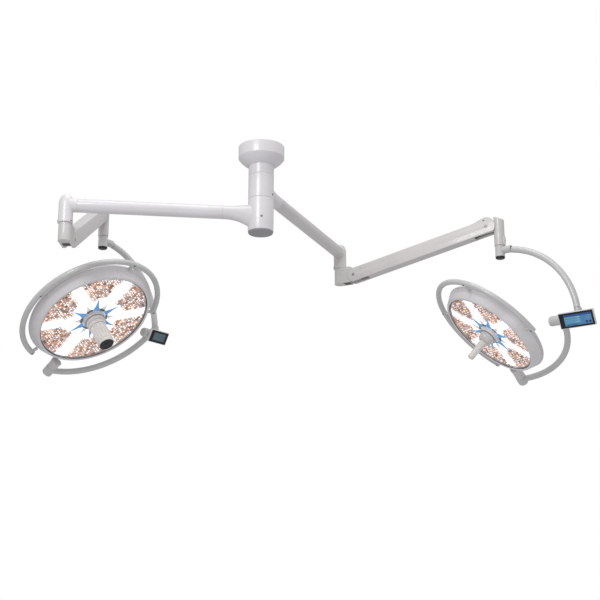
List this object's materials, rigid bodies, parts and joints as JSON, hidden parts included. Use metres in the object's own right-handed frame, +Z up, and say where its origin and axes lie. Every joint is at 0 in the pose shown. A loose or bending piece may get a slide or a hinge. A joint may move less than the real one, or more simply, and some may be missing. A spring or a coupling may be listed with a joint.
{
  "type": "ceiling surgical light",
  "caption": "Ceiling-mounted surgical light: two round LED heads hang on quarter bows from jointed, counterbalanced arms that turn about one shared column.",
  "frame": {"origin": "centre of the ceiling plate's top face, where the light is bolted to the ceiling", "axes": "+Z up into the ceiling; the left suspension hangs towards -X, the right one towards +X, and the lamp faces look towards -Y and down"},
  "size_m": [2.778, 1.1892, 0.9503],
  "materials": {
    "white_enamel": "gloss",
    "pale_grey_enamel": "gloss",
    "bow_enamel": "gloss",
    "bright_steel": "satin",
    "board_aluminium": "satin",
    "black_plastic": "matte",
    "lens_glass": "clear",
    "screen_glass": "gloss",
    "pale_plastic": "satin"
  },
  "bodies": {
    "column": {"ceiling_plate": "bright_steel", "canopy_cover": "white_enamel", "drop_tube": "white_enamel", "end_cap": "pale_plastic"},
    "arm_left": {"arm_hub_left": "white_enamel", "arm_tube_left": "white_enamel", "arm_knuckle_left": "white_enamel"},
    "elbow_left": {"elbow_pin_left": "bright_steel", "elbow_housing_left": "pale_grey_enamel", "spring_pin_rear_left": "bright_steel"},
    "lift_left": {"spring_arm_left": "pale_grey_enamel", "spring_arm_cover_left": "pale_plastic", "spring_pack_left": "bright_steel", "spring_pin_front_left": "bright_steel"},
    "tie_left": {"tie_bar_left": "bright_steel"},
    "knuckle_left": {"front_knuckle_left": "pale_grey_enamel"},
    "outer_left": {"swivel_stub_left": "bow_enamel", "stub_cap_left": "black_plastic", "outer_bow_left": "bow_enamel", "joint_block_left": "bow_enamel", "screen_case_left": "pale_plastic", "screen_panel_left": "screen_glass"},
    "inner_left": {"inner_bow_left": "bow_enamel"},
    "head_left": {"head_shell_left": "pale_grey_enamel", "head_bezel_left": "pale_grey_enamel", "head_lens_left": "lens_glass", "led_board_left": "board_aluminium", "head_hub_left": "pale_plastic", "head_trunnion_left": "pale_grey_enamel", "loop_handle_left": "bow_enamel"},
    "grip_left": {"camera_body_left": "pale_plastic", "camera_window_left": "black_plastic"},
    "arm_right": {"arm_hub_right": "white_enamel", "arm_tube_right": "pale_grey_enamel", "arm_knuckle_right": "pale_grey_enamel"},
    "elbow_right": {"elbow_pin_right": "bright_steel", "elbow_housing_right": "pale_grey_enamel", "spring_pin_rear_right": "bright_steel"},
    "lift_right": {"spring_arm_right": "pale_grey_enamel", "spring_arm_cover_right": "pale_plastic", "spring_pack_right": "bright_steel", "spring_pin_front_right": "bright_steel"},
    "tie_right": {"tie_bar_right": "bright_steel"},
    "knuckle_right": {"front_knuckle_right": "pale_grey_enamel"},
    "outer_right": {"swivel_stub_right": "bow_enamel", "stub_cap_right": "black_plastic", "outer_bow_right": "bow_enamel", "joint_block_right": "bow_enamel", "screen_case_right": "pale_plastic", "screen_panel_right": "screen_glass"},
    "inner_right": {"inner_bow_right": "bow_enamel"},
    "head_right": {"head_shell_right": "pale_grey_enamel", "head_bezel_right": "pale_grey_enamel", "head_lens_right": "lens_glass", "led_board_right": "board_aluminium", "head_hub_right": "pale_plastic", "head_trunnion_right": "pale_grey_enamel", "loop_handle_right": "bow_enamel"},
    "grip_right": {"grip_base_right": "pale_plastic", "sterile_handle_right": "pale_plastic"}
  },
  "joints": [
    {"name": "arm_turn_left", "type": "hinge", "parent": "column", "child": "arm_left", "pos_m": [0, 0, -0.3289], "axis": [0, 0, 1], "range_deg": [-35, 150]},
    {"name": "elbow_turn_left", "type": "hinge", "parent": "arm_left", "child": "elbow_left", "pos_m": [-0.87445, -0.11816, -0.3289], "axis": [0, 0, 1], "range_deg": [-30, 150]},
    {"name": "lift_tilt_left", "type": "hinge", "parent": "elbow_left", "child": "lift_left", "pos_m": [-0.87031, -0.02825, -0.4634], "axis": [0.9989, -0.046, 0], "range_deg": [-75, 8]},
    {"name": "tie_tilt_left", "type": "hinge", "parent": "elbow_left", "child": "tie_left", "pos_m": [-0.87031, -0.02825, -0.4849], "axis": [0.9989, -0.046, 0], "range_deg": [-75, 8]},
    {"name": "knuckle_level_left", "type": "hinge", "parent": "lift_left", "child": "knuckle_left", "pos_m": [-0.84019, 0.62621, -0.09424], "axis": [0.9989, -0.046, 0], "range_deg": [-8, 75]},
    {"name": "swivel_turn_left", "type": "hinge", "parent": "knuckle_left", "child": "outer_left", "pos_m": [-0.83743, 0.68614, -0.22524], "axis": [0, 0, 1], "continuous": true},
    {"name": "bow_turn_left", "type": "hinge", "parent": "outer_left", "child": "inner_left", "pos_m": [-0.86072, 0.65739, -0.64424], "axis": [0.6294, 0.7771, 0], "range_deg": [-44, 85]},
    {"name": "head_turn_left", "type": "hinge", "parent": "inner_left", "child": "head_left", "pos_m": [-0.86072, 0.65739, -0.64424], "axis": [-0.644, 0.5216, -0.5597], "range_deg": [-115, 115]},
    {"name": "grip_turn_left", "type": "hinge", "parent": "head_left", "child": "grip_left", "pos_m": [-0.86072, 0.65739, -0.64424], "axis": [0.4479, -0.336, -0.8285], "range_deg": [-90, 90]},
    {"name": "arm_turn_right", "type": "hinge", "parent": "column", "child": "arm_right", "pos_m": [0, 0, -0.2111], "axis": [0, 0, 1], "range_deg": [-150, 35]},
    {"name": "elbow_turn_right", "type": "hinge", "parent": "arm_right", "child": "elbow_right", "pos_m": [0.38555, 0.93611, -0.2111], "axis": [0, 0, 1], "range_deg": [-35, 135]},
    {"name": "lift_tilt_right", "type": "hinge", "parent": "elbow_right", "child": "lift_right", "pos_m": [0.46537, 0.89453, -0.3456], "axis": [-0.462, -0.8869, 0], "range_deg": [-56, 26]},
    {"name": "tie_tilt_right", "type": "hinge", "parent": "elbow_right", "child": "tie_right", "pos_m": [0.46537, 0.89453, -0.3671], "axis": [-0.462, -0.8869, 0], "range_deg": [-56, 26]},
    {"name": "knuckle_level_right", "type": "hinge", "parent": "lift_right", "child": "knuckle_right", "pos_m": [1.1197, 0.55363, -0.20018], "axis": [-0.462, -0.8869, 0], "range_deg": [-26, 56]},
    {"name": "swivel_turn_right", "type": "hinge", "parent": "knuckle_right", "child": "outer_right", "pos_m": [1.17291, 0.5259, -0.33118], "axis": [0, 0, 1], "continuous": true},
    {"name": "bow_turn_right", "type": "hinge", "parent": "outer_right", "child": "inner_right", "pos_m": [1.12398, 0.55888, -0.73518], "axis": [0.8293, -0.5589, 0], "range_deg": [-48, 85]},
    {"name": "head_turn_right", "type": "hinge", "parent": "inner_right", "child": "head_right", "pos_m": [1.12398, 0.55888, -0.73518], "axis": [0.4847, 0.7192, -0.4977], "range_deg": [-140, 90]},
    {"name": "grip_turn_right", "type": "hinge", "parent": "head_right", "child": "grip_right", "pos_m": [1.12398, 0.55888, -0.73518], "axis": [-0.6316, -0.1059, -0.768], "range_deg": [-90, 90]}
  ],
  "couplings": [
    {"joint": "tie_tilt_left", "follows": "lift_tilt_left", "ratio": 1},
    {"joint": "knuckle_level_left", "follows": "lift_tilt_left", "ratio": -1},
    {"joint": "tie_tilt_right", "follows": "lift_tilt_right", "ratio": 1},
    {"joint": "knuckle_level_right", "follows": "lift_tilt_right", "ratio": -1}
  ]
}
